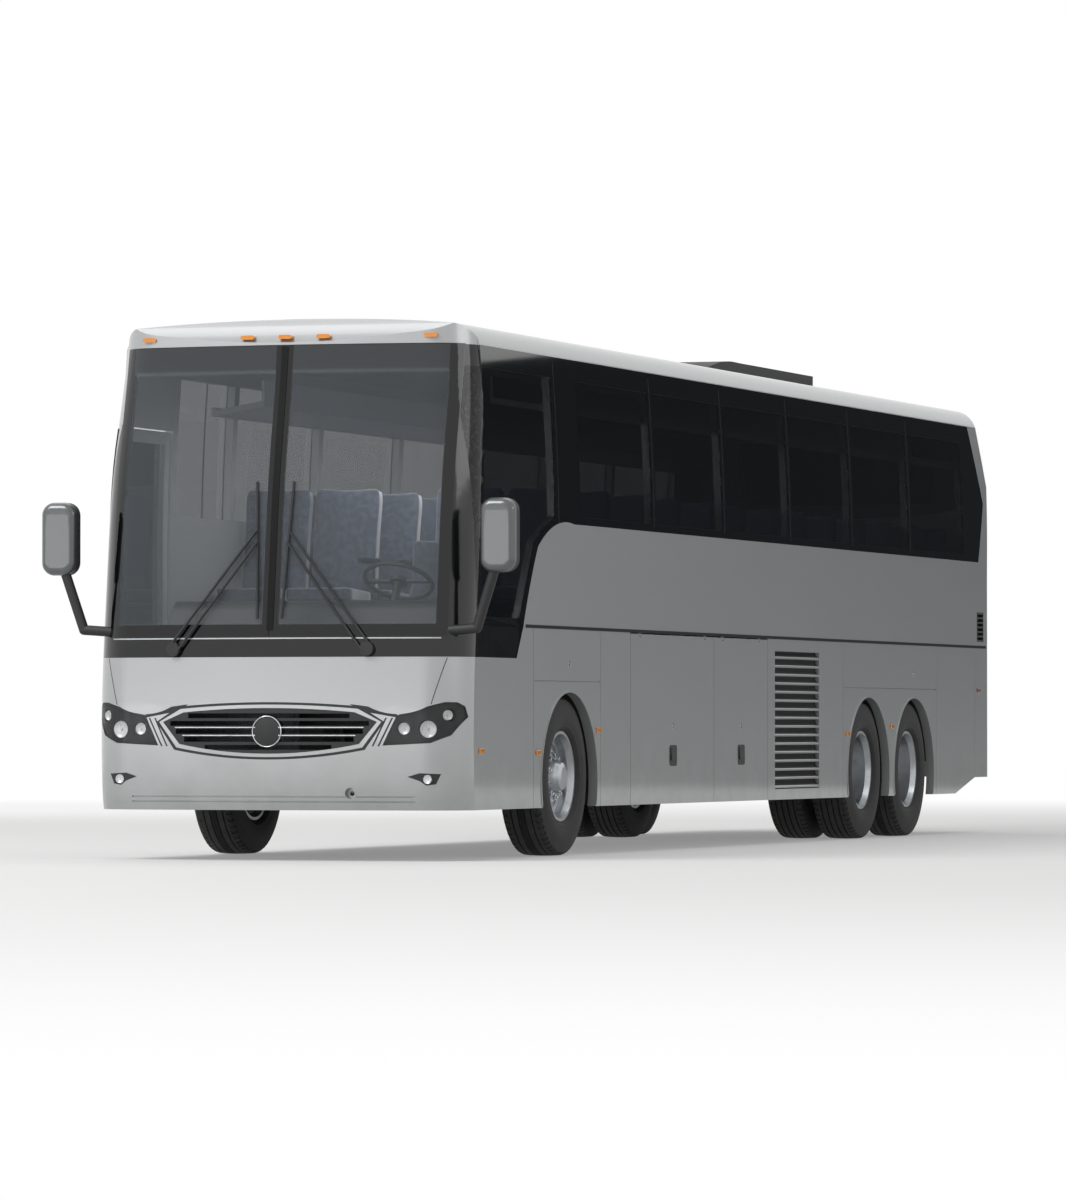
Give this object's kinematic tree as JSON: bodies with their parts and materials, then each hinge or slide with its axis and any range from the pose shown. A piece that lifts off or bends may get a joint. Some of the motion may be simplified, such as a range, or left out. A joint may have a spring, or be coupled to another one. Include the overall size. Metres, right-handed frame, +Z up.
{
  "type": "coach bus",
  "caption": "Long high-deck touring coach with a raked windscreen, low-arm mirrors, flush dark glass, luggage holds and three axles, twin wheels on the drive axle.",
  "frame": {"origin": "on the ground under the middle of the coach", "axes": "-Y is the front, +X the driver's (left) side, +Z up"},
  "size_m": [3.3, 13.726, 3.6515],
  "materials": {
    "silver_paint": "metallic gloss paint",
    "black_gloss": "gloss",
    "black_paint": "satin",
    "black_plastic": "matte",
    "dark_glass": "dark tint, gloss",
    "windscreen_glass": "clear gloss",
    "lamp_glass": "clear gloss",
    "red_lamp": "gloss",
    "amber_lamp": "gloss",
    "tyre_rubber": "matte",
    "polished_rim": "polished",
    "cabin_floor": "matte",
    "seat_cloth": "matte weave",
    "trim_plastic": "satin",
    "engine_iron": "matte"
  },
  "bodies": {
    "root": {"chassis_frame": "black_paint", "luggage_hold": "black_paint", "floor_deck": "cabin_floor", "cab_floor": "cabin_floor", "roof_shell": "silver_paint", "side_wall_left": "silver_paint", "side_wall_right": "silver_paint", "lower_panels_left": "silver_paint", "lower_panels_right": "silver_paint", "side_glass": "dark_glass", "windscreen": "windscreen_glass", "front_mask": "black_gloss", "front_panel": "silver_paint", "front_bumper": "silver_paint", "grille": "black_plastic", "head_lamps": "lamp_glass", "rear_wall": "silver_paint", "rear_glass": "dark_glass", "rear_bumper": "silver_paint", "lamp_housings": "black_plastic", "air_intake": "black_plastic", "wipers": "black_plastic", "marker_lamps": "amber_lamp", "tail_lamps": "red_lamp", "roof_unit": "black_plastic", "mirrors": "black_plastic", "dashboard": "black_plastic", "steering_wheel": "black_plastic", "driver_seat": "seat_cloth", "passenger_seats": "seat_cloth", "seat_backs": "seat_cloth", "luggage_racks": "trim_plastic", "engine_block": "engine_iron", "wheel_houses": "black_plastic", "front_axle": "black_paint", "drive_axle": "black_paint", "tag_axle": "black_paint"},
    "steer_left": {"knuckle_left": "black_paint"},
    "steer_right": {"knuckle_right": "black_paint"},
    "entrance_door": {"entrance_door": "silver_paint", "entrance_door_glass": "dark_glass"},
    "luggage_door_left_1": {"luggage_door_left_1": "silver_paint"},
    "luggage_door_left_2": {"luggage_door_left_2": "silver_paint"},
    "luggage_door_right_1": {"luggage_door_right_1": "silver_paint"},
    "luggage_door_right_2": {"luggage_door_right_2": "silver_paint"},
    "luggage_door_right_3": {"luggage_door_right_3": "silver_paint"},
    "engine_door": {"engine_door": "silver_paint"},
    "wheel_front_left": {"tyre_front_left": "tyre_rubber", "rim_front_left": "polished_rim"},
    "wheel_drive_left": {"tyre_drive_left": "tyre_rubber", "rim_drive_left": "polished_rim"},
    "wheel_tag_left": {"tyre_tag_left": "tyre_rubber", "rim_tag_left": "polished_rim"},
    "wheel_front_right": {"tyre_front_right": "tyre_rubber", "rim_front_right": "polished_rim"},
    "wheel_drive_right": {"tyre_drive_right": "tyre_rubber", "rim_drive_right": "polished_rim"},
    "wheel_tag_right": {"tyre_tag_right": "tyre_rubber", "rim_tag_right": "polished_rim"}
  },
  "joints": [
    {"name": "steering_left", "type": "hinge", "parent": "root", "child": "steer_left", "pos_m": [0.865, -4.51, 0.538], "axis": [0, 0, 1], "range_deg": [-42, 42]},
    {"name": "steering_right", "type": "hinge", "parent": "root", "child": "steer_right", "pos_m": [-0.865, -4.51, 0.538], "axis": [0, 0, 1], "range_deg": [-42, 42]},
    {"name": "roll_front_left", "type": "hinge", "parent": "steer_left", "child": "wheel_front_left", "pos_m": [1.1075, -4.51, 0.538], "axis": [1, 0, 0], "continuous": true},
    {"name": "roll_drive_left", "type": "hinge", "parent": "root", "child": "wheel_drive_left", "pos_m": [1.1075, 2.99, 0.538], "axis": [1, 0, 0], "continuous": true},
    {"name": "roll_tag_left", "type": "hinge", "parent": "root", "child": "wheel_tag_left", "pos_m": [1.1075, 4.34, 0.538], "axis": [1, 0, 0], "continuous": true},
    {"name": "roll_front_right", "type": "hinge", "parent": "steer_right", "child": "wheel_front_right", "pos_m": [-1.1075, -4.51, 0.538], "axis": [1, 0, 0], "continuous": true},
    {"name": "roll_drive_right", "type": "hinge", "parent": "root", "child": "wheel_drive_right", "pos_m": [-1.1075, 2.99, 0.538], "axis": [1, 0, 0], "continuous": true},
    {"name": "roll_tag_right", "type": "hinge", "parent": "root", "child": "wheel_tag_right", "pos_m": [-1.1075, 4.34, 0.538], "axis": [1, 0, 0], "continuous": true},
    {"name": "hinge_luggage_door_left_1", "type": "hinge", "parent": "root", "child": "luggage_door_left_1", "pos_m": [1.288, -2.155, 1.515], "axis": [0, -1, 0], "range_deg": [0, 85]},
    {"name": "hinge_luggage_door_left_2", "type": "hinge", "parent": "root", "child": "luggage_door_left_2", "pos_m": [1.288, -0.475, 1.515], "axis": [0, -1, 0], "range_deg": [0, 85]},
    {"name": "hinge_luggage_door_right_1", "type": "hinge", "parent": "root", "child": "luggage_door_right_1", "pos_m": [-1.288, -2.6483, 1.515], "axis": [0, 1, 0], "range_deg": [0, 85]},
    {"name": "hinge_luggage_door_right_2", "type": "hinge", "parent": "root", "child": "luggage_door_right_2", "pos_m": [-1.288, -0.685, 1.515], "axis": [0, 1, 0], "range_deg": [0, 85]},
    {"name": "hinge_luggage_door_right_3", "type": "hinge", "parent": "root", "child": "luggage_door_right_3", "pos_m": [-1.288, 1.2783, 1.515], "axis": [0, 1, 0], "range_deg": [0, 85]},
    {"name": "hinge_engine_door", "type": "hinge", "parent": "root", "child": "engine_door", "pos_m": [0, 6.844, 1.513], "axis": [1, 0, 0], "range_deg": [0, 80]},
    {"name": "hinge_entrance_door", "type": "hinge", "parent": "root", "child": "entrance_door", "pos_m": [-1.286, -6.421, 0.9], "axis": [0, 0, 1], "range_deg": [0, 88]}
  ],
  "couplings": [
    {"joint": "steering_right", "follows": "steering_left", "ratio": 1}
  ]
}
